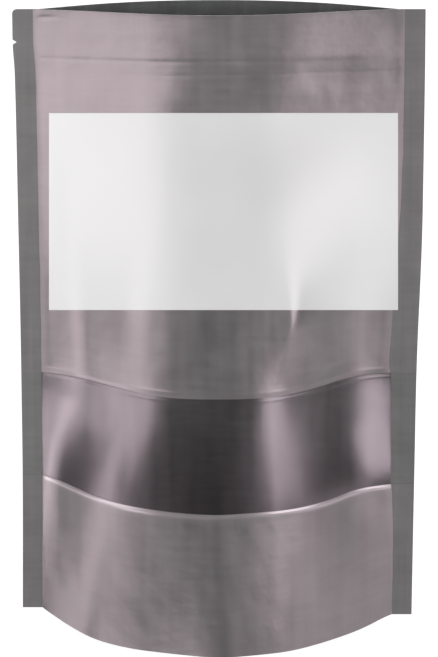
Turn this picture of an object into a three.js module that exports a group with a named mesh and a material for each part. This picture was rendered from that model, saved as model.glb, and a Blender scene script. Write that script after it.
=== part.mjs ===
// Stand-up pouch with a clear window band, an open press-to-close mouth and a
// folded bottom gusset. Millimetres, +Z up, the front looks along -Y, origin at
// the middle of the footprint.
//
// Every sheet is worked out from the same few surfaces: the front and the back
// wall, each a function of u (across, -1 and 1 are the inner edges of the side
// seals) and s (height along the side seal). Driving sizes come first.

import * as THREE from 'three';

// ---- driving dimensions ----------------------------------------------------
const HEIGHT = 220;          // flat height of the pouch
const SEAL = 7;              // width of each side seal
const WALL = 0.6;            // sheet thickness
const GAP = 0.3;             // clearance between neighbouring pieces
const WINDOW_LOW = 50;       // the window band, measured up the side seal
const WINDOW_HIGH = 90;
const ZIP_LOW = 197;         // press-to-close strips
const ZIP_HIGH = 205;
const NOTCH_AT = 208.6;      // tear notch in the left seal
const NOTCH_DEEP = 1.5;
const NOTCH_HALF = 0.9;
const CORNER = 1.6;          // worn round of the top left corner
const LABEL_LEFT = -58.0;    // blank label, straight-edged in the view from above the front:
const LABEL_RIGHT = 61.1;    // its place on a picture plane through the middle of the pouch
const LABEL_LOW = 6.3;
const LABEL_HIGH = 73.5;
const EYE_TILT = 18.97 * Math.PI / 180;
const EYE_FAR = 1600;
const EYE_AIM = 107.42;

// Values at a few heights s, joined by smooth monotone curves between them.
const BACK_BULGE = [[0, 34.34], [50, 27.6], [90, 20.4], [150, 13.4], [184, 9.6], [203, 8.6], [220, 11.6]];
const LEFT_EDGE = [[0, 68.3], [45, 67.9], [92, 67.7], [148, 68.0], [197, 68.4], [210, 69.0], [220, 69.0]];
const RIGHT_EDGE = [[0, 67.0], [45, 67.2], [92, 67.7], [148, 68.9], [197, 69.0], [220, 68.9]];
const LEFT_SWAY = [[0, -0.17], [50, 3.34], [90, 0.51], [150, 0.3], [220, 0]];
const RIGHT_SWAY = [[0, -1.85], [50, -2.15], [90, 1.47], [150, -0.3], [220, 0]];
// the front: how far it stands out at each level, and the lines that run up it,
// each with its places u and the slope of the wall there (out for each step across)
const LEVELS = [0, 50, 90, 117, 150, 184, 203, 220];
const FRONT_BULGE = [32.32, 28.22, 23.81, 21.18, 14.93, 7.57, 5.55, 4.93];
const FRONT_LINES = [
  [[-1, -1, -1, -1, -1, -1, -1, -1],
    [1.08, 0.35, 0.17, 0.13, 0.21, 0.2, 0.13, 0.08]],
  [[-0.902, -0.887, -0.827, -0.85, -0.871, -0.893, -0.893, -0.9],
    [0.97, 0.77, 0.29, 0.19, 0.18, 0.19, 0.1, 0.07]],
  [[-0.781, -0.79, -0.725, -0.741, -0.76, -0.74, -0.695, -0.709],
    [0.9, 0.82, 0.42, 0.4, 0.32, 0.17, 0.09, 0.13]],
  [[-0.63, -0.695, -0.524, -0.525, -0.462, -0.417, -0.423, -0.411],
    [0.5, 0.75, 0.4, 0.42, 0.37, 0.17, 0.1, 0.12]],
  [[-0.391, -0.483, -0.401, -0.388, -0.294, -0.26, -0.267, -0.249],
    [0.23, 0.39, 0.31, 0.23, 0.08, 0, 0.03, 0.06]],
  [[-0.091, -0.16, -0.14, -0.14, -0.155, -0.124, -0.088, -0.102],
    [0.19, 0.15, 0.05, 0.03, -0.04, -0.07, -0.03, 0.05]],
  [[0.09, 0.028, 0.183, 0.177, 0.154, 0.115, 0.117, 0.1],
    [-0.12, -0.07, -0.05, -0.02, -0.01, -0.03, 0.03, -0.04]],
  [[0.314, 0.301, 0.282, 0.38, 0.315, 0.336, 0.366, 0.382],
    [-0.16, -0.12, -0.11, -0.02, -0.09, -0.1, -0.09, -0.09]],
  [[0.506, 0.477, 0.396, 0.456, 0.441, 0.491, 0.511, 0.518],
    [-0.35, -0.22, -0.24, -0.19, -0.17, -0.09, -0.12, -0.12]],
  [[0.749, 0.684, 0.645, 0.671, 0.697, 0.749, 0.799, 0.8],
    [-0.45, -0.42, -0.35, -0.12, -0.21, -0.09, -0.09, -0.1]],
  [[0.901, 0.876, 0.848, 0.829, 0.871, 0.897, 0.899, 0.9],
    [-0.62, -0.15, -0.1, -0.06, -0.12, -0.08, -0.09, -0.05]],
  [[1, 1, 1, 1, 1, 1, 1, 1],
    [-0.45, -0.13, -0.02, 0, -0.09, -0.08, -0.07, -0.03]],
];
const LIFT_LEFT = 4.93;       // the lower corners stand off the floor
const LIFT_RIGHT = 3.02;
const LIFT_POWER = 2.1;
const LIFT_SHAPE = 1.6;
const LIP_DIP = 0.86;         // the front lip hangs lower in the middle than at the seals

// ---- smooth curve through stations ----------------------------------------
function through(stations) {
  const x = stations.map((p) => p[0]);
  const y = stations.map((p) => p[1]);
  const n = x.length;
  const d = [];
  for (let i = 0; i < n - 1; i++) d.push((y[i + 1] - y[i]) / (x[i + 1] - x[i]));
  const m = [d[0]];
  for (let i = 1; i < n - 1; i++) {
    if (d[i - 1] * d[i] <= 0) m.push(0);
    else {
      const h0 = x[i] - x[i - 1];
      const h1 = x[i + 1] - x[i];
      const w1 = 2 * h1 + h0;
      const w2 = h1 + 2 * h0;
      m.push((w1 + w2) / (w1 / d[i - 1] + w2 / d[i]));
    }
  }
  m.push(d[n - 2]);
  return (v) => {
    const q = Math.min(Math.max(v, x[0]), x[n - 1]);
    let i = 0;
    while (i < n - 2 && q > x[i + 1]) i++;
    const h = x[i + 1] - x[i];
    const t = (q - x[i]) / h;
    return y[i] * (1 + 2 * t) * (1 - t) ** 2 + m[i] * h * t * (1 - t) ** 2
      + y[i + 1] * t * t * (3 - 2 * t) + m[i + 1] * h * t * t * (t - 1);
  };
}

const byLevel = (values) => through(LEVELS.map((s, i) => [s, values[i]]));
const frontBulge = byLevel(FRONT_BULGE);
const lines = FRONT_LINES.map(([places, slopes]) => [byLevel(places), byLevel(slopes)]);
const backBulge = through(BACK_BULGE);
const leftEdge = through(LEFT_EDGE);
const rightEdge = through(RIGHT_EDGE);
const leftSway = through(LEFT_SWAY);
const rightSway = through(RIGHT_SWAY);

// ---- the two walls -----------------------------------------------------------
// the slopes summed up from the left seal to u
function swept(u, places, slopes) {
  let out = 0;
  for (let i = 0; i < places.length - 1; i++) {
    const step = places[i + 1] - places[i];
    const t = Math.min(Math.max(u - places[i], 0), step);
    out += slopes[i] * t + (slopes[i + 1] - slopes[i]) * t * t / (2 * step);
  }
  return out;
}

// how far the front stands out, as a share of its bulge at that height
function frontShape(u, s) {
  const places = lines.map(([place]) => place(s));
  const slopes = lines.map(([, slope]) => slope(s));
  const d = swept(u, places, slopes);
  const mid = swept(0, places, slopes);
  const end = swept(1, places, slopes);
  return u < 0 ? d / mid : (d - end) / (mid - end);
}

function backShape(u) {
  return (1 - Math.min(Math.abs(u / 0.97), 1) ** 2.3) ** 1.15;
}

function cornerLift(across, s, p) {
  const c = LIFT_LEFT * (1 - across) + LIFT_RIGHT * across;
  return c * (1 - s / HEIGHT) ** LIFT_POWER * (1 - Math.min(Math.max(p, 0), 1)) ** LIFT_SHAPE;
}

// u outside -1..1 runs over the side seals, up to -2 and 2 at the outer edges
function across(u, s) {
  const inL = -(leftEdge(s) - SEAL);
  const inR = rightEdge(s) - SEAL;
  if (u < -1) return inL + (u + 1) * SEAL;
  if (u > 1) return inR + (u - 1) * SEAL;
  return inL + (inR - inL) * (u + 1) / 2;
}

// the mid plane of the wall, before thickness: side -1 is the front
function wall(side, u, s) {
  const c = Math.min(Math.max(u, -1), 1);
  const w = (c + 1) / 2;
  const p = side < 0 ? frontShape(c, s) : backShape(c);
  const bulge = side < 0 ? frontBulge(s) : backBulge(s);
  const dip = side < 0 ? LIP_DIP * p * Math.min(Math.max((s - 203) / 17, 0), 1) ** 2 : 0;
  return new THREE.Vector3(
    across(u, s),
    leftSway(s) * (1 - w) + rightSway(s) * w + side * (bulge * p + GAP / 2),
    s + cornerLift(w, s, p) - dip,
  );
}

function wallNormal(side, u, s) {
  const e = 0.01;
  const c = Math.min(Math.max(u, -1 + e), 1 - e);
  const du = wall(side, c + e, s).sub(wall(side, c - e, s));
  const s1 = Math.min(s + 0.5, HEIGHT);
  const s0 = Math.max(s - 0.5, 0);
  const ds = wall(side, c, s1).sub(wall(side, c, s0));
  const n = du.cross(ds).normalize();
  if (n.y * side < 0) n.negate();
  if (Math.abs(u) >= 1) n.set(0, side, 0);
  return n;
}

// a point at a depth outside (+) or inside (-) the inner face of the wall
function onWall(side, u, s, depth) {
  return wall(side, u, s).addScaledVector(wallNormal(side, u, s), depth);
}

// ---- solids --------------------------------------------------------------------
// closed sheet between two grids of points, outer[row][col] and inner[row][col]
function closedSheet(outer, inner) {
  const rows = outer.length;
  const cols = outer[0].length;
  const positions = [];
  const index = [];
  for (const grid of [outer, inner]) for (const row of grid) for (const p of row) positions.push(p.x, p.y, p.z);
  const O = (r, c) => r * cols + c;
  const I = (r, c) => rows * cols + r * cols + c;
  const quad = (a, b, c, d) => index.push(a, b, c, a, c, d);
  for (let r = 0; r < rows - 1; r++) {
    for (let c = 0; c < cols - 1; c++) {
      quad(O(r, c), O(r, c + 1), O(r + 1, c + 1), O(r + 1, c));
      quad(I(r, c), I(r + 1, c), I(r + 1, c + 1), I(r, c + 1));
    }
  }
  for (let c = 0; c < cols - 1; c++) {
    quad(O(0, c), I(0, c), I(0, c + 1), O(0, c + 1));
    quad(O(rows - 1, c), O(rows - 1, c + 1), I(rows - 1, c + 1), I(rows - 1, c));
  }
  for (let r = 0; r < rows - 1; r++) {
    quad(O(r, 0), O(r + 1, 0), I(r + 1, 0), I(r, 0));
    quad(O(r, cols - 1), I(r, cols - 1), I(r + 1, cols - 1), O(r + 1, cols - 1));
  }
  const g = new THREE.BufferGeometry();
  g.setAttribute('position', new THREE.Float32BufferAttribute(positions, 3));
  g.setIndex(index);
  if (volume(g) < 0) {
    for (let i = 0; i < index.length; i += 3) [index[i + 1], index[i + 2]] = [index[i + 2], index[i + 1]];
    g.setIndex(index);
  }
  g.computeVertexNormals();
  return g;
}

function volume(g) {
  const p = g.attributes.position;
  const k = g.index.array;
  const a = new THREE.Vector3();
  const b = new THREE.Vector3();
  const c = new THREE.Vector3();
  let v = 0;
  for (let i = 0; i < k.length; i += 3) {
    a.fromBufferAttribute(p, k[i]);
    b.fromBufferAttribute(p, k[i + 1]);
    c.fromBufferAttribute(p, k[i + 2]);
    v += a.dot(b.clone().cross(c));
  }
  return v / 6;
}

const steps = (from, to, n) => Array.from({ length: n + 1 }, (_, i) => from + (to - from) * i / n);

// columns over the left seal, the bulged part and the right seal
const ACROSS = [-2, ...steps(-1, 1, 32), 2];

// the outer edge of the left seal steps in at the tear notch and the worn corner
function trimmed(p, u, s) {
  if (u > -2) return p;
  const dn = Math.abs(s - NOTCH_AT);
  if (dn < NOTCH_HALF) p.x += NOTCH_DEEP * (1 - dn / NOTCH_HALF);
  const dc = s - (HEIGHT - CORNER);
  if (dc > 0) p.x += CORNER - Math.sqrt(Math.max(CORNER ** 2 - dc ** 2, 0));
  return p;
}

function wallSheet(side, heights) {
  const outer = heights.map((s) => ACROSS.map((u) => trimmed(onWall(side, u, s, WALL), u, s)));
  const inner = heights.map((s) => ACROSS.map((u) => trimmed(onWall(side, u, s, 0), u, s)));
  return closedSheet(outer, inner);
}

const TOP_ROWS = [203, NOTCH_AT - NOTCH_HALF, NOTCH_AT, NOTCH_AT + NOTCH_HALF, 214,
  HEIGHT - CORNER, HEIGHT - 0.6, HEIGHT];

// press-to-close strip: a thin base with a raised profile, swept across the mouth
function zipStrip(side, profile, from, to) {
  const rings = steps(from, to, 24).map((u) => {
    // the ribs are pressed flat towards the side seals
    const k = THREE.MathUtils.smoothstep(0.86 - Math.abs(u), 0, 0.14);
    return profile.map(([s, d]) => onWall(side, u, s, -GAP - (d > 0.5 ? 0.5 + (d - 0.5) * Math.max(k, 0.04) : d)));
  });
  const positions = [];
  const index = [];
  const n = profile.length;
  for (const ring of rings) for (const p of ring) positions.push(p.x, p.y, p.z);
  for (let i = 0; i < rings.length - 1; i++) {
    for (let k = 0; k < n; k++) {
      const a = i * n + k;
      const b = i * n + (k + 1) % n;
      index.push(a, b, b + n, a, b + n, a + n);
    }
  }
  const outline = profile.map(([s, d]) => new THREE.Vector2(s, d));
  for (const [a, b, c] of THREE.ShapeUtils.triangulateShape(outline, [])) {
    const end = (rings.length - 1) * n;
    index.push(c, b, a, end + a, end + b, end + c);
  }
  const g = new THREE.BufferGeometry();
  g.setAttribute('position', new THREE.Float32BufferAttribute(positions, 3));
  g.setIndex(index);
  if (volume(g) < 0) {
    for (let i = 0; i < index.length; i += 3) [index[i + 1], index[i + 2]] = [index[i + 2], index[i + 1]];
    g.setIndex(index);
  }
  g.computeVertexNormals();
  return g;
}

// one rib on the front strip, two ribs with the channel between them on the back
const RIB_STRIP = [[ZIP_LOW, 0], [ZIP_HIGH, 0], [ZIP_HIGH, 0.5], [201.9, 0.5], [201.7, 1.5], [200.3, 1.5], [200.1, 0.5], [ZIP_LOW, 0.5]];
const CHANNEL_STRIP = [[ZIP_LOW, 0], [ZIP_HIGH, 0], [ZIP_HIGH, 0.5], [203.2, 0.5], [203.0, 1.4], [202.2, 1.4], [202.0, 0.5],
  [200.0, 0.5], [199.8, 1.4], [199.0, 1.4], [198.8, 0.5], [ZIP_LOW, 0.5]];

// bottom gusset: up the inside of the front skirt, over a soft ridge, down the back
const GUSSET_LEFT = -0.88;
const GUSSET_RIGHT = 0.80;
const GUSSET_SKIRT = 1.0;    // its lower edges stop above those of the walls
function gussetPath(u, depth) {
  const k = Math.abs(u) ** 2.2;
  const seam = 7 + 21 * k;          // curved seam between skirt and gusset
  const ridge = 25 + 9 * k;
  const inside = (side, s) => onWall(side, u, s, -GAP - depth);
  const points = [];
  for (const s of steps(GUSSET_SKIRT, seam, 2)) points.push(inside(-1, s));
  const a = inside(-1, seam);
  const b = inside(1, seam);
  const top = ridge - depth;
  for (const t of [0.14, 0.3, 0.42, 0.5, 0.58, 0.7, 0.86]) {
    const h = 1 - Math.abs(2 * t - 1) ** 1.25;
    points.push(new THREE.Vector3(a.x + (b.x - a.x) * t, a.y + (b.y - a.y) * t, a.z + (b.z - a.z) * t + (top - seam) * h));
  }
  for (const s of steps(seam, GUSSET_SKIRT, 2)) points.push(inside(1, s));
  return points;
}

function gusset() {
  const us = steps(GUSSET_LEFT, GUSSET_RIGHT, 24);
  return closedSheet(us.map((u) => gussetPath(u, 0)), us.map((u) => gussetPath(u, WALL)));
}

// where a point shows on the picture plane
function seen(p) {
  const back = new THREE.Vector3(0, -Math.cos(EYE_TILT), Math.sin(EYE_TILT));
  const top = new THREE.Vector3(0, Math.sin(EYE_TILT), Math.cos(EYE_TILT));
  const d = p.clone().sub(new THREE.Vector3(0, 0, EYE_AIM)).addScaledVector(back, -EYE_FAR);
  const scale = EYE_FAR / -d.dot(back);
  return [d.x * scale, d.dot(top) * scale];
}

function label() {
  const grid = (depth) => steps(0, 1, 5).map((t) => steps(0, 1, 26).map((r) => {
    const wantX = LABEL_LEFT + (LABEL_RIGHT - LABEL_LEFT) * r;
    const wantY = LABEL_LOW + (LABEL_HIGH - LABEL_LOW) * t;
    let u = 2 * r - 1;
    let s = 118 + 66 * t;
    for (let i = 0; i < 14; i++) {
      const [x, y] = seen(onWall(-1, u, s, WALL + GAP));
      u += (wantX - x) / 60.7;
      s += (wantY - y) / 0.94;
    }
    return onWall(-1, u, s, WALL + GAP + 0.05 + depth);
  }));
  return closedSheet(grid(0.4), grid(0));
}

// ---- materials and assembly -----------------------------------------------------
const paper = { color: 0x8d8287, roughness: 0.4, metalness: 0.35 };
const film = { color: 0x77727a, roughness: 0.12, metalness: 0, transparent: true, opacity: 0.45 };
const plastic = { color: 0x6e6b6c, roughness: 0.4, metalness: 0 };
const white = { color: 0xe6e3e4, roughness: 0.4, metalness: 0 };

function piece(name, geometry, look) {
  const mesh = new THREE.Mesh(geometry, new THREE.MeshStandardMaterial(look));
  mesh.name = name;
  return mesh;
}

const pouch = new THREE.Group();
pouch.add(
  piece('front_lower', wallSheet(-1, [0, 8, 20, 35, WINDOW_LOW - GAP / 2]), paper),
  piece('window_film', wallSheet(-1, [WINDOW_LOW + GAP / 2, 60, 70, 80, WINDOW_HIGH - GAP / 2]), film),
  piece('front_upper', wallSheet(-1, [WINDOW_HIGH + GAP / 2, 102, 116, 132, 148, 161, 172, 181, 190, ...TOP_ROWS]), paper),
  piece('back_panel', wallSheet(1, [0, 8, 20, 35, 50, 60, 70, 80, 90, 102, 116, 132, 148, 175, ...TOP_ROWS]), paper),
  piece('bottom_gusset', gusset(), paper),
  piece('zip_front', zipStrip(-1, RIB_STRIP, -0.88, 0.88), plastic),
  piece('zip_back', zipStrip(1, CHANNEL_STRIP, -0.88, 0.88), plastic),
  piece('label', label(), white),
);

export default pouch;
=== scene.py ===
"""Looks of the open stand-up pouch: laminate walls, clear window band, zip strips, gusset and blank label.

All sizes below are millimetres in the part's own frame, and metres only where a mesh is written.
u runs across a wall, -1 and 1 at the inner edges of the side seals, -2 and 2 at their outer edges;
s is the height along the side seal.
"""

import math

import bpy
import numpy as np
from mathutils import Matrix, Vector


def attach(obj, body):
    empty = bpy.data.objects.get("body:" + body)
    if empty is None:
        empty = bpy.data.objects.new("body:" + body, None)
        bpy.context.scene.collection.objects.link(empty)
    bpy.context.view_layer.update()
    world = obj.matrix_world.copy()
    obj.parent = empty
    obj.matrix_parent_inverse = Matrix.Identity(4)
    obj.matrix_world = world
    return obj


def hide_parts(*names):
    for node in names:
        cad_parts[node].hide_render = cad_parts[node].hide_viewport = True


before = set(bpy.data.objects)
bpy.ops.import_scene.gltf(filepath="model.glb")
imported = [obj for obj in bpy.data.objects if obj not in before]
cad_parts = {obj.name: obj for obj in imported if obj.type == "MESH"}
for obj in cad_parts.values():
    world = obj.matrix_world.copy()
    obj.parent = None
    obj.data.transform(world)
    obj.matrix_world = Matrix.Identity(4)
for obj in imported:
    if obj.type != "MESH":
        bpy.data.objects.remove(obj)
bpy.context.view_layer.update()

# ---------------------------------------------------------------- sizes
HEIGHT = 220.0
SEAL = 7.0
SHEET = 0.28  # shown thickness of the laminate
FILM = 0.16
HALF_GAP = 0.06  # the two walls in the seal, from the mid plane
WINDOW_LOW = 50.0
WINDOW_HIGH = 90.0
ZIP_LINE = 203.4  # the groove above the press-to-close strips
NOTCH_AT = 208.6
NOTCH_DEEP = 1.5
NOTCH_HALF = 0.9
CORNER = 1.6
BACK_BULGE = [(0, 34.34), (50, 27.6), (90, 20.4), (150, 13.4), (184, 9.6), (203, 8.6), (220, 11.6)]
LEFT_EDGE = [(0, 68.3), (45, 67.9), (92, 67.7), (148, 68.0), (197, 68.4), (210, 69.0), (220, 69.0)]
RIGHT_EDGE = [(0, 67.0), (45, 67.2), (92, 67.7), (148, 68.9), (197, 69.0), (220, 68.9)]
# how wide the dull heat-sealed band looks at each height
LEFT_BAND = [(0, 5.4), (45, 5.6), (52, 6.8), (90, 7.0), (150, 7.0), (203, 6.3), (220, 6.0)]
RIGHT_BAND = [(0, 6.8), (45, 7.4), (52, 8.3), (88, 8.5), (94, 9.4), (115, 9.0), (150, 7.6), (203, 6.2), (220, 5.6)]
# <tables>
LEVELS = (0, 50, 90, 117, 150, 184, 203, 220)
# the front wall by level: how far it stands out, and the lines that run up it, each with its places
# across the wall and the wall's slope there (out for each step across)
FRONT_BULGE = (32.32, 28.22, 23.81, 21.18, 14.93, 7.57, 5.55, 4.93)
FRONT_LINES = [
    ((-1.000, -1.000, -1.000, -1.000, -1.000, -1.000, -1.000, -1.000),
     (1.08, 0.35, 0.17, 0.13, 0.21, 0.20, 0.13, 0.08)),
    ((-0.902, -0.887, -0.827, -0.850, -0.871, -0.893, -0.893, -0.900),
     (0.97, 0.77, 0.29, 0.19, 0.18, 0.19, 0.10, 0.07)),
    ((-0.781, -0.790, -0.725, -0.741, -0.760, -0.740, -0.695, -0.709),
     (0.90, 0.82, 0.42, 0.40, 0.32, 0.17, 0.09, 0.13)),
    ((-0.630, -0.695, -0.524, -0.525, -0.462, -0.417, -0.423, -0.411),
     (0.50, 0.75, 0.40, 0.42, 0.37, 0.17, 0.10, 0.12)),
    ((-0.391, -0.483, -0.401, -0.388, -0.294, -0.260, -0.267, -0.249),
     (0.23, 0.39, 0.31, 0.23, 0.08, 0.0, 0.03, 0.06)),
    ((-0.091, -0.160, -0.140, -0.140, -0.155, -0.124, -0.088, -0.102),
     (0.19, 0.15, 0.05, 0.03, -0.04, -0.07, -0.03, 0.05)),
    ((0.090, 0.028, 0.183, 0.177, 0.154, 0.115, 0.117, 0.100),
     (-0.12, -0.07, -0.05, -0.02, -0.01, -0.03, 0.03, -0.04)),
    ((0.314, 0.301, 0.282, 0.390, 0.315, 0.336, 0.366, 0.382),
     (-0.16, -0.12, -0.11, -0.02, -0.09, -0.10, -0.09, -0.09)),
    ((0.506, 0.477, 0.396, 0.446, 0.441, 0.491, 0.511, 0.518),
     (-0.35, -0.22, -0.24, -0.19, -0.17, -0.09, -0.12, -0.12)),
    ((0.749, 0.684, 0.645, 0.671, 0.697, 0.749, 0.799, 0.800),
     (-0.45, -0.42, -0.35, -0.12, -0.21, -0.09, -0.09, -0.10)),
    ((0.901, 0.876, 0.848, 0.829, 0.871, 0.897, 0.899, 0.900),
     (-0.62, -0.15, -0.10, -0.06, -0.12, -0.08, -0.09, -0.05)),
    ((1.000, 1.000, 1.000, 1.000, 1.000, 1.000, 1.000, 1.000),
     (-0.45, -0.13, -0.02, 0.0, -0.09, -0.08, -0.07, -0.03)),
]
LEFT_SWAY = [(0, -0.17), (50, 3.34), (90, 0.51), (150, 0.30), (220, 0.0)]
RIGHT_SWAY = [(0, -1.85), (50, -2.15), (90, 1.47), (150, -0.30), (220, 0.0)]
LIFT_LEFT, LIFT_RIGHT, LIFT_POWER, LIFT_SHAPE = 4.93, 3.02, 2.10, 1.60
LIP_DIP = 0.86  # the front lip hangs a little lower in the middle than at the seals
LABEL_FRAME = (49, 113, 398, 310)  # the blank label as seen from the front, in pixels of the frame
# azimuth, distance, height, width, height, roll, radiance
SOFTBOXES = [
    (-40.8, 0.24, 0.22, 0.24, 0.36, -49.5, 1.30),
    (-39.3, 0.27, -0.13, 0.34, 0.17, -15.0, 1.14),
    (-81.2, 0.16, -0.01, 0.03, 0.19, -35.6, 1.21),
    (49.6, 0.48, 0.20, 0.54, 0.37, 22.2, 1.54),
    (25.7, 0.46, -0.39, 0.40, 0.27, 11.9, 1.74),
    (74.3, 0.37, -0.39, 0.45, 0.74, -3.1, 0.47),
]
# </tables>


# ---------------------------------------------------------------- camera
EYE_ELEVATION = math.radians(18.97)
EYE_DISTANCE = 1600.0
EYE_TARGET = 107.42
FOCAL_PX = 4690.0  # focal length in pixels of a frame 438 wide and 657 high


def make_camera():
    data = bpy.data.cameras.new("camera")
    cam = bpy.data.objects.new("camera", data)
    bpy.context.scene.collection.objects.link(cam)
    data.sensor_fit = "AUTO"
    data.sensor_width = 36.0
    data.lens = 36.0 * FOCAL_PX / 657.0
    back = Vector((0, -math.cos(EYE_ELEVATION), math.sin(EYE_ELEVATION)))
    cam.location = Vector((0, 0, EYE_TARGET / 1000)) + back * EYE_DISTANCE / 1000
    cam.rotation_mode = "QUATERNION"
    cam.rotation_quaternion = (-back).to_track_quat("-Z", "Y")
    data.clip_start, data.clip_end = 0.05, 30
    bpy.context.scene.camera = cam


# ---------------------------------------------------------------- the two walls
def through(stations):
    """A smooth monotone curve through a few stations."""
    xs = np.array([p[0] for p in stations], float)
    ys = np.array([p[1] for p in stations], float)
    d = np.diff(ys) / np.diff(xs)
    m = np.zeros_like(ys)
    m[0], m[-1] = d[0], d[-1]
    for i in range(1, len(xs) - 1):
        if d[i - 1] * d[i] > 0:
            h0, h1 = xs[i] - xs[i - 1], xs[i + 1] - xs[i]
            w1, w2 = 2 * h1 + h0, h1 + 2 * h0
            m[i] = (w1 + w2) / (w1 / d[i - 1] + w2 / d[i])

    def f(v):
        v = np.clip(np.asarray(v, float), xs[0], xs[-1])
        i = np.clip(np.searchsorted(xs, v, side="right") - 1, 0, len(xs) - 2)
        h = xs[i + 1] - xs[i]
        t = (v - xs[i]) / h
        return (ys[i] * (1 + 2 * t) * (1 - t) ** 2 + m[i] * h * t * (1 - t) ** 2
                + ys[i + 1] * t * t * (3 - 2 * t) + m[i + 1] * h * t * t * (t - 1))

    return f


def by_level(values):
    return through(list(zip(LEVELS, values)))


front_bulge, back_bulge = by_level(FRONT_BULGE), through(BACK_BULGE)
left_edge, right_edge = through(LEFT_EDGE), through(RIGHT_EDGE)
left_sway, right_sway = through(LEFT_SWAY), through(RIGHT_SWAY)
lines = [(by_level(places), by_level(slopes)) for places, slopes in FRONT_LINES]


def swept(u, places, slopes):
    """The slopes summed up from the left seal to u."""
    out = np.zeros_like(u)
    for a, b, m, n in zip(places, places[1:], slopes, slopes[1:]):
        t = np.clip(u - a, 0, b - a)
        out = out + m * t + (n - m) * t * t / (2 * (b - a))
    return out


def front_shape(u, s):
    """How far the front stands out, as a share of its bulge at that height."""
    u, s = np.broadcast_arrays(np.asarray(u, float), np.asarray(s, float))
    places = [at(s) for at, _ in lines]
    slopes = [slope(s) for _, slope in lines]
    d = swept(u, places, slopes)
    mid = swept(np.zeros_like(u), places, slopes)
    end = swept(np.ones_like(u), places, slopes)
    return np.where(u < 0, d / mid, (d - end) / (mid - end))


def back_shape(u):
    return (1 - np.minimum(np.abs(u / 0.97), 1) ** 2.3) ** 1.15


def across(u, s):
    in_l = -(left_edge(s) - SEAL)
    in_r = right_edge(s) - SEAL
    return np.where(u < -1, in_l + (u + 1) * SEAL,
                    np.where(u > 1, in_r + (u - 1) * SEAL, in_l + (in_r - in_l) * (u + 1) / 2))


def wall(side, u, s):
    """The inner face of a wall; side -1 is the front."""
    u, s = np.broadcast_arrays(np.asarray(u, float), np.asarray(s, float))
    c = np.clip(u, -1, 1)
    w = (c + 1) / 2
    p = front_shape(c, s) if side < 0 else back_shape(c)
    out = (front_bulge(s) if side < 0 else back_bulge(s)) * p
    lift = ((LIFT_LEFT * (1 - w) + LIFT_RIGHT * w) * (1 - s / HEIGHT) ** LIFT_POWER
            * (1 - np.clip(p, 0, 1)) ** LIFT_SHAPE)
    if side < 0:
        lift = lift - LIP_DIP * p * np.clip((s - 203) / 17, 0, 1) ** 2
    y = left_sway(s) * (1 - w) + right_sway(s) * w + side * (out + HALF_GAP)
    return np.stack([across(u, s), y, s + lift], -1)


def wall_normal(side, u, s):
    e = 0.004
    u, s = np.broadcast_arrays(np.asarray(u, float), np.asarray(s, float))
    s1, s0 = np.minimum(s + 0.25, HEIGHT), np.maximum(s - 0.25, 0)
    du = wall(side, u + e, s) - wall(side, u - e, s)
    ds = wall(side, u, s1) - wall(side, u, s0)
    n = np.cross(du, ds)
    n /= np.linalg.norm(n, axis=-1, keepdims=True)
    n *= np.sign(n[..., 1:2]) * side
    return n


def on_wall(side, u, s, depth):
    return wall(side, u, s) + wall_normal(side, u, s) * np.asarray(depth, float)[..., None]


# ---------------------------------------------------------------- meshes
def solid_from_sheets(name, outer, inner, materials, uv=None, attributes=None):
    """A closed sheet between two grids of points. Material 0 is outside, 1 inside, 2 the cut edges."""
    rows, cols = outer.shape[:2]
    verts = np.concatenate([outer.reshape(-1, 3), inner.reshape(-1, 3)]) / 1000.0
    grid = np.arange(rows * cols).reshape(rows, cols)
    other = grid + rows * cols

    def quads(a, b, c, d):
        return np.stack([a.ravel(), b.ravel(), c.ravel(), d.ravel()], -1)

    parts = [
        (quads(grid[:-1, :-1], grid[:-1, 1:], grid[1:, 1:], grid[1:, :-1]), 0),
        (quads(other[:-1, :-1], other[1:, :-1], other[1:, 1:], other[:-1, 1:]), 1),
        (quads(grid[0, :-1], other[0, :-1], other[0, 1:], grid[0, 1:]), 2),
        (quads(grid[-1, :-1], grid[-1, 1:], other[-1, 1:], other[-1, :-1]), 2),
        (quads(grid[:-1, 0], grid[1:, 0], other[1:, 0], other[:-1, 0]), 2),
        (quads(grid[:-1, -1], other[:-1, -1], other[1:, -1], grid[1:, -1]), 2),
    ]
    faces = np.concatenate([q for q, _ in parts])
    slots = np.concatenate([np.full(len(q), i) for q, i in parts])
    a, b, c = (verts[faces[:, i]] for i in range(3))
    if (a * np.cross(b, c)).sum() + (a * np.cross(c, verts[faces[:, 3]])).sum() < 0:
        faces = faces[:, ::-1]
    me = bpy.data.meshes.new(name)
    me.vertices.add(len(verts))
    me.vertices.foreach_set("co", verts.astype(np.float32).ravel())
    me.loops.add(faces.size)
    me.loops.foreach_set("vertex_index", faces.astype(np.int32).ravel())
    me.polygons.add(len(faces))
    me.polygons.foreach_set("loop_start", np.arange(0, faces.size, 4, dtype=np.int32))
    me.polygons.foreach_set("material_index", slots.astype(np.int32))
    me.update(calc_edges=True)
    if uv is not None:
        flat = np.concatenate([uv.reshape(-1, 2), uv.reshape(-1, 2)])
        layer = me.uv_layers.new(name="sheet")
        layer.data.foreach_set("uv", flat[faces.ravel()].astype(np.float32).ravel())
    for key, values in (attributes or {}).items():
        at = me.attributes.new(key, "FLOAT", "POINT")
        at.data.foreach_set("value", np.concatenate([values.ravel(), values.ravel()]).astype(np.float32))
    for m in materials:
        me.materials.append(m)
    me.polygons.foreach_set("use_smooth", np.ones(len(faces), bool))
    me.set_sharp_from_angle(angle=math.radians(50))
    me.validate()
    ob = bpy.data.objects.new(name, me)
    bpy.context.scene.collection.objects.link(ob)
    return ob


def place(ob, slot, *nodes):
    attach(ob, "root")
    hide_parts(*nodes)
    return ob


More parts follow.
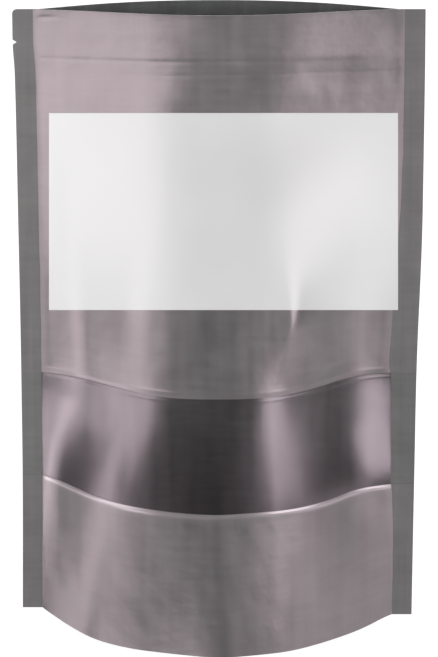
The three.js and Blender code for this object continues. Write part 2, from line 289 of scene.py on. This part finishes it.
# ---------------------------------------------------------------- materials
def node_material(name):
    m = bpy.data.materials.new(name)
    m.use_nodes = True
    nt = m.node_tree
    nt.nodes.clear()
    out = nt.nodes.new("ShaderNodeOutputMaterial")
    return m, nt, out


def add(nt, kind, **values):
    n = nt.nodes.new(kind)
    for k, v in values.items():
        if k.startswith("in_"):
            n.inputs[k[3:].replace("_", " ")].default_value = v
        else:
            setattr(n, k, v)
    return n


def noise(nt, vector, scale, detail=3.0, roughness=0.55, stretch=None):
    """A noise over the flat sheet, in features per metre, stretched along or across it if asked."""
    if stretch:
        mapping = add(nt, "ShaderNodeMapping")
        mapping.inputs["Scale"].default_value = (*stretch, 1)
        nt.links.new(vector, mapping.inputs["Vector"])
        vector = mapping.outputs[0]
    n = add(nt, "ShaderNodeTexNoise", in_Scale=scale, in_Detail=detail, in_Roughness=roughness)
    nt.links.new(vector, n.inputs["Vector"])
    return n.outputs["Fac"]


def blend_of(nt, parts):
    """The weighted sum of a few noises, centred on 0.5."""
    total = None
    for socket, weight in parts:
        n = add(nt, "ShaderNodeMath", operation="MULTIPLY_ADD")
        nt.links.new(socket, n.inputs[0])
        n.inputs[1].default_value = weight
        if total is None:
            n.inputs[2].default_value = 0.5 - 0.5 * sum(w for _, w in parts)
        else:
            nt.links.new(total, n.inputs[2])
        total = n.outputs[0]
    return total


def two_tone(nt, factor, tone, spread):
    ramp = add(nt, "ShaderNodeValToRGB")
    ramp.color_ramp.elements[0].position, ramp.color_ramp.elements[1].position = 0.25, 0.75
    ramp.color_ramp.elements[0].color = (*[c * (1 - spread) for c in tone], 1)
    ramp.color_ramp.elements[1].color = (*[c * (1 + spread) for c in tone], 1)
    nt.links.new(factor, ramp.inputs["Fac"])
    return ramp.outputs["Color"]


def mixed(nt, kind, factor, a, b):
    n = add(nt, "ShaderNodeMix", data_type=kind)
    nt.links.new(factor, n.inputs[0])
    pair = [i for i in n.inputs if i.enabled and i.name in "AB"]
    for socket, value in zip(pair, (a, b)):
        if isinstance(value, bpy.types.NodeSocket):
            nt.links.new(value, socket)
        else:
            socket.default_value = value
    return next(o for o in n.outputs if o.enabled)


def laminate(name, tone, rough, ior=3.7, tint=(1.0, 0.84, 0.90, 1), spread=0.32, grain_scale=(260, 14), wave=0.2, fade=False, bead=False):
    """Satin laminate with soft mottling and a faint upright grain."""
    m, nt, out = node_material(name)
    b = add(nt, "ShaderNodeBsdfPrincipled")
    b.inputs["IOR"].default_value = ior
    b.inputs["Specular Tint"].default_value = tint
    uv = add(nt, "ShaderNodeUVMap", uv_map="sheet").outputs[0]
    cloud = noise(nt, uv, 75.0, 4.0, 0.55)
    streak = noise(nt, uv, 1.0, 3.0, 0.55, grain_scale)
    weave = noise(nt, uv, 1.0, 3.0, 0.55, (60, 520))
    grain = blend_of(nt, [(cloud, 0.60), (streak, 0.50), (weave, 0.35)])
    colour = two_tone(nt, grain, tone, spread)
    rough_map = add(nt, "ShaderNodeMapRange", in_From_Min=0.25, in_From_Max=0.75,
                    in_To_Min=rough - 0.015, in_To_Max=rough + 0.020)
    nt.links.new(grain, rough_map.inputs["Value"])
    roughness = rough_map.outputs["Result"]
    if fade:
        # duller towards the heat-sealed bands
        near = add(nt, "ShaderNodeAttribute", attribute_name="fade").outputs["Fac"]
        roughness = mixed(nt, "FLOAT", near, roughness, 0.50)
    if bead:
        crest = add(nt, "ShaderNodeAttribute", attribute_name="bead").outputs["Fac"]
        colour = mixed(nt, "RGBA", crest, colour, (0.82, 0.745, 0.78, 1))
        nt.links.new(mixed(nt, "FLOAT", crest, 0.0, 0.88), b.inputs["Metallic"])
    nt.links.new(colour, b.inputs["Base Color"])
    nt.links.new(roughness, b.inputs["Roughness"])
    soft = add(nt, "ShaderNodeBump", in_Strength=wave, in_Distance=0.0006)
    nt.links.new(noise(nt, uv, 1.0, 1.0, 0.4, (80, 45)), soft.inputs["Height"])
    fine = add(nt, "ShaderNodeBump", in_Strength=0.50, in_Distance=0.0001)
    nt.links.new(noise(nt, uv, 280.0, 2.0, 0.5), fine.inputs["Height"])
    nt.links.new(soft.outputs[0], fine.inputs["Normal"])
    nt.links.new(fine.outputs[0], b.inputs["Normal"])
    nt.links.new(b.outputs[0], out.inputs["Surface"])
    return m


def clear_film(name):
    m, nt, out = node_material(name)
    uv = add(nt, "ShaderNodeUVMap", uv_map="sheet").outputs[0]
    shine = add(nt, "ShaderNodeBsdfPrincipled")
    shine.inputs["Base Color"].default_value = (0.95, 0.82, 0.89, 1)
    shine.inputs["Metallic"].default_value = 1.0
    rough = add(nt, "ShaderNodeMapRange", in_From_Min=0.3, in_From_Max=0.7, in_To_Min=0.21, in_To_Max=0.25)
    nt.links.new(noise(nt, uv, 1.0, 3.0, 0.5, (260, 20)), rough.inputs["Value"])
    nt.links.new(rough.outputs["Result"], shine.inputs["Roughness"])
    ripple = add(nt, "ShaderNodeBump", in_Strength=0.10, in_Distance=0.0004)
    nt.links.new(noise(nt, uv, 1.0, 2.0, 0.5, (110, 18)), ripple.inputs["Height"])
    nt.links.new(ripple.outputs[0], shine.inputs["Normal"])
    clear = add(nt, "ShaderNodeBsdfTransparent")
    clear.inputs["Color"].default_value = (0.93, 0.93, 0.93, 1)
    mix = add(nt, "ShaderNodeMixShader")
    weight = add(nt, "ShaderNodeLayerWeight", in_Blend=0.25)
    fac = add(nt, "ShaderNodeMapRange", in_From_Min=0.0, in_From_Max=1.0, in_To_Min=0.185, in_To_Max=0.5)
    nt.links.new(weight.outputs["Fresnel"], fac.inputs["Value"])
    nt.links.new(fac.outputs["Result"], mix.inputs[0])
    nt.links.new(clear.outputs[0], mix.inputs[1])
    nt.links.new(shine.outputs[0], mix.inputs[2])
    nt.links.new(mix.outputs[0], out.inputs["Surface"])
    return m


def plain_plastic(name, colour, rough, noise_scale=300.0, spread=0.06, ior=1.5, uv=False):
    m, nt, out = node_material(name)
    b = add(nt, "ShaderNodeBsdfPrincipled")
    b.inputs["IOR"].default_value = ior
    where = add(nt, "ShaderNodeUVMap", uv_map="sheet").outputs[0] if uv else add(nt, "ShaderNodeTexCoord").outputs["Object"]
    tex = noise(nt, where, noise_scale, 4.0)
    nt.links.new(two_tone(nt, tex, colour, spread), b.inputs["Base Color"])
    shine = add(nt, "ShaderNodeMapRange", in_From_Min=0.3, in_From_Max=0.7, in_To_Min=rough - 0.03, in_To_Max=rough + 0.03)
    nt.links.new(tex, shine.inputs["Value"])
    nt.links.new(shine.outputs["Result"], b.inputs["Roughness"])
    bump = add(nt, "ShaderNodeBump", in_Strength=0.06, in_Distance=0.0001)
    nt.links.new(tex, bump.inputs["Height"])
    nt.links.new(bump.outputs[0], b.inputs["Normal"])
    nt.links.new(b.outputs[0], out.inputs["Surface"])
    return m


TONE = (0.129, 0.137, 0.133)
OUTSIDE = laminate("laminate_outside", TONE, 0.291, fade=True)
LOWER = laminate("laminate_lower", TONE, 0.291, fade=True, bead=True)
PLAIN = laminate("laminate_plain", TONE, 0.291)
SEALED = laminate("laminate_sealed", (0.153, 0.150, 0.149), 0.48, ior=1.5, tint=(1, 1, 1, 1), spread=0.18, grain_scale=(520, 12))
INSIDE = laminate("laminate_inside", (0.204, 0.215, 0.210), 0.55, ior=1.45, tint=(1, 1, 1, 1))
EDGE = plain_plastic("laminate_edge", (0.26, 0.235, 0.245), 0.5)
FILM_CLEAR = clear_film("film_clear")
FILM_SEALED = laminate("film_sealed", (0.140, 0.142, 0.139), 0.45, ior=1.5, tint=(1, 1, 1, 1), spread=0.18, grain_scale=(520, 12))
ZIP = plain_plastic("zip_plastic", (0.10, 0.10, 0.10), 0.35)
LABEL = plain_plastic("label_white", (0.738, 0.757, 0.751), 0.436, 60.0, 0.012, ior=3.0, uv=True)

# ---------------------------------------------------------------- pieces
SIDE_COLUMNS, MID_COLUMNS = 12, 190
left_band, right_band = through(LEFT_BAND), through(RIGHT_BAND)


def rows_between(a, b, step):
    return np.linspace(a, b, max(2, int(round(abs(b - a) / step)) + 1))


def joined(*runs):
    return np.concatenate([r[:-1] for r in runs[:-1]] + [runs[-1]])


def trim_left_edge(points, u, s):
    """The tear notch and the worn round of the top left corner."""
    outer = np.clip((-u - 1.5) / 0.5, 0, 1)
    dn = np.abs(s - NOTCH_AT)
    points[..., 0] += outer * np.where(dn < NOTCH_HALF, NOTCH_DEEP * (1 - dn / NOTCH_HALF), 0)
    dc = np.clip(s - (HEIGHT - CORNER), 0, CORNER)
    points[..., 0] += outer * (CORNER - np.sqrt(CORNER ** 2 - dc ** 2))
    return points


def columns(s_rows, mid=MID_COLUMNS):
    """The places across the sheet at each height, with a column on the border of each dull band."""
    half = (left_edge(s_rows) + right_edge(s_rows)) / 2 - SEAL
    wobble = 0.22 * np.sin(s_rows / 5.3) * np.sin(s_rows / 13.7 + 1)
    first = -1 + (left_band(s_rows) + wobble - SEAL) / half
    last = 1 - (right_band(s_rows) - wobble - SEAL) / half
    k = SIDE_COLUMNS
    rows = [np.concatenate([np.linspace(-2, a, k + 1)[:-1], np.linspace(a, b, mid + 1), np.linspace(b, 2, k + 1)[1:]])
            for a, b in zip(first, last)]
    return np.array(rows), np.repeat(s_rows[:, None], mid + 1 + 2 * k, 1)


def dull_bands(ob, count, slot, of_slots=(0,)):
    """Give the faces of the two bands the slot of the sealed material."""
    me = ob.data
    corner, now = np.zeros(len(me.loops), np.int32), np.zeros(len(me.polygons), np.int32)
    me.loops.foreach_get("vertex_index", corner)
    me.polygons.foreach_get("material_index", now)
    column = (corner % count).reshape(-1, 4)
    band = (column.max(1) <= SIDE_COLUMNS) | (column.min(1) >= count - 1 - SIDE_COLUMNS)
    me.polygons.foreach_set("material_index", np.where(band & np.isin(now, of_slots), slot, now).astype(np.int32))


def ridge(s, at, half):
    return np.exp(-((s - at) / half) ** 2)


def smooth(v, a, b):
    t = np.clip((v - a) / (b - a), 0, 1)
    return t * t * (3 - 2 * t)


def step_up(s, at, width):
    """0 below, 1 above, and a soft flank between."""
    return 0.5 + 0.5 * np.tanh((s - at) / width)


def random_waves(seed, count, short, long, upright):
    """A smooth uneven field over the sheet, between about -1 and 1."""
    rng = np.random.default_rng(seed)
    length = rng.uniform(short, long, count)
    angle = rng.normal(0, upright, count)
    phase = rng.uniform(0, 2 * math.pi, count)
    kx, ks = 2 * math.pi * np.cos(angle) / length, 2 * math.pi * np.sin(angle) / length

    def f(x, s):
        total = np.zeros_like(x)
        for a, b, c in zip(kx, ks, phase):
            total = total + np.sin(a * x + b * s + c)
        return total / math.sqrt(count)

    return f


mottle = random_waves(7, 26, 7.0, 19.0, 0.75)
mottle_lower = random_waves(11, 30, 6.0, 17.0, 0.85)


def upper_relief(u, s):
    """What is pressed into the upper panel: the zip's step, the curl of the lip and the edge of the window."""
    inside = smooth(1.0 - np.abs(u), 0.0, 0.05)
    weight = (0.16 + 0.16 * np.exp(-((u + 0.42) / 0.14) ** 2) + 0.84 * smooth(u, 0.18, 0.55)
              + 0.05 * np.sin(9 * u + 1) * np.sin(23 * u))
    drift = 0.25 * np.sin(2.6 * u + 0.6)
    flank = 0.22 * (1 - step_up(s, ZIP_LINE + 0.2 + drift, 0.95)) + 0.17 * (1 - step_up(s, ZIP_LINE - 2.8, 1.7))
    zip_step = -weight * flank * smooth(s, 190.5, 198.5) * (1 - 0.85 * smooth(u, 0.60, 1.0))
    thin = (-0.055 * (1 - smooth(u, 0.1, 0.4)) * ridge(s, ZIP_LINE + drift * 0.6, 0.75)
            - 0.03 * ridge(s, ZIP_LINE - 4.6 + drift, 0.7) * smooth(u, -0.6, -0.2))
    lip = 0.10 * np.exp(-np.clip(220 - s, 0, None) / 1.3) + 0.02 * ridge(s, 212.5, 1.5) * smooth(-u, -0.1, 0.4)
    up = s - WINDOW_HIGH
    lines = (0.35 + 0.65 * np.clip(np.abs(u + 0.05) / 0.35, 0, 1)) * (1 - 0.6 * smooth(u, -0.1, 0.2))
    border = -0.15 * np.exp(-np.clip(up, 0, None) / 0.55) * lines + 0.085 * lines * ridge(up, 1.75, 0.6)
    crease = -0.13 * np.exp(-((u + 0.93) / 0.05) ** 2) * ridge(s, 217.4, 0.8)
    return inside * (zip_step + thin + lip + border + crease + 0.012 * mottle(across(u, s), s))


def bead_weight(u):
    """The bead is plump on the flanks and nearly flat in the middle."""
    return np.clip(0.25 + 0.75 * smooth(np.abs(u + 0.08), 0.22, 0.42), 0, 1)


def lower_relief(u, s):
    """A rounded bead along the window's lower edge."""
    inside = smooth(1.0 - np.abs(u), 0.0, 0.05)
    return inside * (0.12 * bead_weight(u) * ridge(s, WINDOW_LOW - 0.85, 0.78) + 0.016 * mottle_lower(across(u, s), s))


def bead_mask(u, s):
    return ridge(s, WINDOW_LOW - 0.78, 0.92) * bead_weight(u) * np.clip((1.0 - np.abs(u)) / 0.02, 0, 1)


def back_relief(u, s):
    inside = smooth(1.0 - np.abs(u), 0.0, 0.05)
    return inside * (-0.12 * ridge(s, ZIP_LINE, 0.6) - 0.08 * ridge(s, ZIP_LINE - 5.2, 0.6) + 0.08 * ridge(s, ZIP_LINE - 2.6, 1.6)
                     + 0.06 * np.exp(-np.clip(220 - s, 0, None) / 1.3) + 0.014 * mottle(across(u, s) + 300, s))


def fade_mask(u, s):
    """1 on the borders of the dull bands, 0 a few millimetres inside them."""
    x = across(u, s)
    left = x + left_edge(s) - left_band(s)
    right = right_edge(s) - right_band(s) - x
    return 1 - smooth(np.minimum(left / 2.6, right / 3.2), 0, 1)


def wall_piece(name, side, s_rows, materials, thickness=SHEET, relief=None, attributes=None):
    u, s = columns(s_rows)
    bump = relief(u, s) if relief else np.zeros_like(u)
    outer = on_wall(side, u, s, thickness + bump)
    inner = on_wall(side, u, s, np.minimum(bump, 0.0) * 0.5)
    for g in (outer, inner):
        trim_left_edge(g, u, s)
    uv = np.stack([across(u, s) + (400 if side > 0 else 0), s], -1) / 1000.0
    masks = {"fade": fade_mask(u, s)}
    masks.update({k: f(u, s) for k, f in (attributes or {}).items()})
    ob = solid_from_sheets(name, outer, inner, materials, uv, masks)
    dull_bands(ob, u.shape[1], 3)
    return ob


TOP_ROWS = joined(rows_between(194, 206.2, 0.25), rows_between(206.2, 207.6, 0.35), rows_between(207.6, 209.6, 0.2),
                  rows_between(209.6, 213.6, 0.8), rows_between(213.6, 220, 0.2))

upper = wall_piece("front_upper_sheet", -1,
                   joined(rows_between(WINDOW_HIGH, WINDOW_HIGH + 2.7, 0.15), rows_between(WINDOW_HIGH + 2.7, 194, 1.5), TOP_ROWS),
                   [OUTSIDE, INSIDE, EDGE, SEALED], relief=upper_relief)
place(upper, "laminate", "front_upper")
lower = wall_piece("front_lower_sheet", -1, joined(rows_between(0, WINDOW_LOW - 2.4, 1.0), rows_between(WINDOW_LOW - 2.4, WINDOW_LOW, 0.12)),
                   [LOWER, INSIDE, EDGE, SEALED], relief=lower_relief,
                   attributes={"bead": bead_mask})
place(lower, "laminate", "front_lower")
back = wall_piece("back_sheet", 1, joined(rows_between(0, 194, 1.6), TOP_ROWS), [OUTSIDE, INSIDE, EDGE, SEALED], relief=back_relief)
place(back, "laminate", "back_panel")


def film_piece():
    s_rows = joined(rows_between(WINDOW_LOW + 0.02, WINDOW_HIGH - 2.2, 0.8), rows_between(WINDOW_HIGH - 2.2, WINDOW_HIGH - 0.02, 0.15))
    u, s = columns(s_rows)
    inside = smooth(1.0 - np.abs(u), 0.0, 0.05)
    line = inside * 0.045 * np.clip(0.3 + np.abs(u + 0.05) / 0.5, 0, 1) * ridge(s, WINDOW_HIGH - 1.2, 0.5)
    # the film stands a little proud of the wall under the window's upper corners
    left, right = (1 - (1 - np.clip((1 + v) / 0.25, 0, 1)) ** 2 for v in (u, -u))
    line = line + smooth(s, 70, 84) * (0.50 * left * (1 - smooth(u, -0.75, -0.40)) + 0.42 * right * (1 - smooth(-u, -0.72, -0.40)))
    outer = on_wall(-1, u, s, 0.05 + FILM + line)
    inner = on_wall(-1, u, s, np.full_like(u, 0.05))
    uv = np.stack([across(u, s), s], -1) / 1000.0
    ob = solid_from_sheets("window_sheet", outer, inner, [FILM_CLEAR, FILM_SEALED], uv)
    me = ob.data
    me.polygons.foreach_set("material_index", np.zeros(len(me.polygons), np.int32))
    dull_bands(ob, u.shape[1], 1)
    return ob


place(film_piece(), "window", "window_film")


def zip_piece(name, side, profile):
    us = np.linspace(-0.9, 0.9, 90)
    prof = np.array(profile, float)
    k = np.clip((0.88 - np.abs(us)) / 0.14, 0.04, 1)
    s = np.repeat(prof[None, :, 0], len(us), 0)
    d = np.where(prof[None, :, 1] > 0.4, 0.4 + (prof[None, :, 1] - 0.4) * k[:, None], prof[None, :, 1])
    u = np.repeat(us[:, None], prof.shape[0], 1)
    pts = on_wall(side, u, s, -0.25 - d)
    n, m = pts.shape[:2]
    verts = pts.reshape(-1, 3) / 1000
    faces = []
    for i in range(n - 1):
        for j in range(m):
            a, b = i * m + j, i * m + (j + 1) % m
            faces.append((a, b, b + m, a + m))
    faces.append(tuple(range(m - 1, -1, -1)))
    faces.append(tuple(range((n - 1) * m, n * m)))
    me = bpy.data.meshes.new(name)
    me.from_pydata([tuple(v) for v in verts], [], faces)
    me.update()
    me.materials.append(ZIP)
    ob = bpy.data.objects.new(name, me)
    bpy.context.scene.collection.objects.link(ob)
    return ob


RIB = [(197, 0), (205, 0), (205, 0.4), (201.8, 0.4), (201.6, 1.3), (200.4, 1.3), (200.2, 0.4), (197, 0.4)]
CHANNEL = [(197, 0), (205, 0), (205, 0.4), (203.1, 0.4), (202.9, 1.3), (202.2, 1.3), (202.0, 0.4), (200.0, 0.4),
           (199.8, 1.3), (199.1, 1.3), (198.9, 0.4), (197, 0.4)]
place(zip_piece("zip_rib", -1, RIB), "zip", "zip_front")
place(zip_piece("zip_channel", 1, CHANNEL), "zip", "zip_back")


def gusset_piece():
    us = np.linspace(-0.93, 0.87, 90)
    paths = []
    for depth in (0.0, SHEET):
        path = []
        k = np.abs(us) ** 2.2
        seam, ridge_at = 7 + 21 * k, 25 + 9 * k
        for t in np.linspace(0, 1, 7):
            path.append(on_wall(-1, us, 1.0 + (seam - 1.0) * t, np.full_like(us, -0.05 - depth)))
        a = path[-1]
        b = on_wall(1, us, seam, np.full_like(us, -0.05 - depth))
        for t in np.linspace(0, 1, 25)[1:-1]:
            h = 1 - abs(2 * t - 1) ** 1.25
            p = a + (b - a) * t
            p[:, 2] += (ridge_at - depth - seam) * h
            path.append(p)
        for t in np.linspace(1, 0, 7):
            path.append(on_wall(1, us, 1.0 + (seam - 1.0) * t, np.full_like(us, -0.05 - depth)))
        paths.append(np.stack(path, 1))
    uv = np.stack([paths[0][..., 0] + 800, np.cumsum(np.ones_like(paths[0][..., 0]), 1)], -1) / 1000
    return solid_from_sheets("gusset_sheet", paths[0], paths[1], [INSIDE, PLAIN, EDGE], uv)


place(gusset_piece(), "laminate", "bottom_gusset")


def seen(p):
    """Where a point shows in the frame, in its pixels."""
    back = np.array([0, -math.cos(EYE_ELEVATION), math.sin(EYE_ELEVATION)])
    top = np.array([0, math.sin(EYE_ELEVATION), math.cos(EYE_ELEVATION)])
    d = p - (np.array([0, 0, EYE_TARGET]) + back * EYE_DISTANCE)
    depth = -(d @ back)
    return 219 + FOCAL_PX * d[..., 0] / depth, 328.5 - FOCAL_PX * (d @ top) / depth


def label_piece():
    """A blank label that looks straight-edged from the front, laid on the curved wall."""
    t, r = np.meshgrid(np.linspace(0, 1, 70), np.linspace(0, 1, 130), indexing="ij")
    want_x = LABEL_FRAME[0] + (LABEL_FRAME[2] - LABEL_FRAME[0]) * r
    want_y = LABEL_FRAME[3] + (LABEL_FRAME[1] - LABEL_FRAME[3]) * t
    u, s = 2 * r - 1, 118 + 66 * t
    for _ in range(14):
        x, y = seen(on_wall(-1, u, s, np.full_like(u, SHEET + 0.1)))
        u = u + (want_x - x) / 178.0
        s = s - (want_y - y) / 2.75
    outer = on_wall(-1, u, s, np.full_like(u, SHEET + 0.02 + 0.10))
    inner = on_wall(-1, u, s, np.full_like(u, SHEET + 0.02))
    uv = np.stack([across(u, s), s], -1) / 1000
    return solid_from_sheets("label_sheet", outer, inner, [LABEL, LABEL, LABEL], uv)


place(label_piece(), "label", "label")

# ---------------------------------------------------------------- floor, light, camera
make_camera()


def make_floor():
    """White acrylic lit from below."""
    n = 24
    xs = np.linspace(-3, 3, n)
    verts = [(x, y, 0.0) for y in xs for x in xs]
    faces = [(j * n + i, j * n + i + 1, (j + 1) * n + i + 1, (j + 1) * n + i) for j in range(n - 1) for i in range(n - 1)]
    me = bpy.data.meshes.new("floor")
    me.from_pydata(verts, [], faces)
    m, nt, out = node_material("floor_pale")
    b = add(nt, "ShaderNodeBsdfPrincipled")
    b.inputs["Base Color"].default_value = (0.10, 0.10, 0.10, 1)
    b.inputs["Emission Color"].default_value = (1, 1, 1, 1)
    b.inputs["Emission Strength"].default_value = 0.97
    b.inputs["Roughness"].default_value = 0.9
    b.inputs["Specular IOR Level"].default_value = 0.1
    nt.links.new(b.outputs[0], out.inputs["Surface"])
    me.materials.append(m)
    ob = bpy.data.objects.new("floor", me)
    bpy.context.scene.collection.objects.link(ob)
    # the sheets' gloss shows the softboxes alone, also where they reach below the floor
    ob.visible_glossy = False
    ob.visible_shadow = False


def area(name, location, axes, size, radiance, colour):
    """A rectangular light; axes are its width, its height and the way its back points."""
    data = bpy.data.lights.new(name, "AREA")
    data.shape = "RECTANGLE"
    data.size, data.size_y = size
    data.energy = radiance * math.pi * size[0] * size[1]
    data.color = colour
    ob = bpy.data.objects.new(name, data)
    ob.location = location
    ob.rotation_mode = "QUATERNION"
    ob.rotation_quaternion = Matrix([list(a) for a in axes]).transposed().to_quaternion()
    ob.visible_camera = False
    bpy.context.scene.collection.objects.link(ob)
    return ob


def softbox(name, azimuth, distance, z, width, height, roll, radiance, colour=(1.0, 0.95, 0.97)):
    """An upright softbox that faces the pouch. Azimuth is in degrees from the camera side, positive to the right."""
    a, r = math.radians(azimuth), math.radians(roll)
    level, upright = Vector((math.cos(a), math.sin(a), 0)), Vector((0, 0, 1))
    wide = level * math.cos(r) + upright * math.sin(r)
    high = upright * math.cos(r) - level * math.sin(r)
    out = Vector((math.sin(a), -math.cos(a), 0))
    return area(name, (distance * math.sin(a), -distance * math.cos(a), z), (wide, high, out), (width, height), radiance, colour)


make_floor()
for number, box in enumerate(SOFTBOXES):
    softbox("softbox_%d" % number, *box)


def overhead(radiance):
    """A big panel above and behind the pouch, for the floor and the back."""
    at, aim = Vector((0, 0.9, 1.2)), Vector((0, 0.45, 0))
    out = (at - aim).normalized()
    wide = Vector((1, 0, 0))
    light = area("overhead", at, (wide, out.cross(wide), out), (2.2, 1.2), radiance, (1, 1, 1))
    light.data.spread = math.radians(110)


overhead(2.9)
world = bpy.data.worlds.new("world")
bpy.context.scene.world = world
world.use_nodes = True
world.node_tree.nodes["Background"].inputs[0].default_value = (0.98, 1.0, 0.99, 1)
world.node_tree.nodes["Background"].inputs[1].default_value = 0.03
bpy.context.scene.view_settings.view_transform = "Standard"
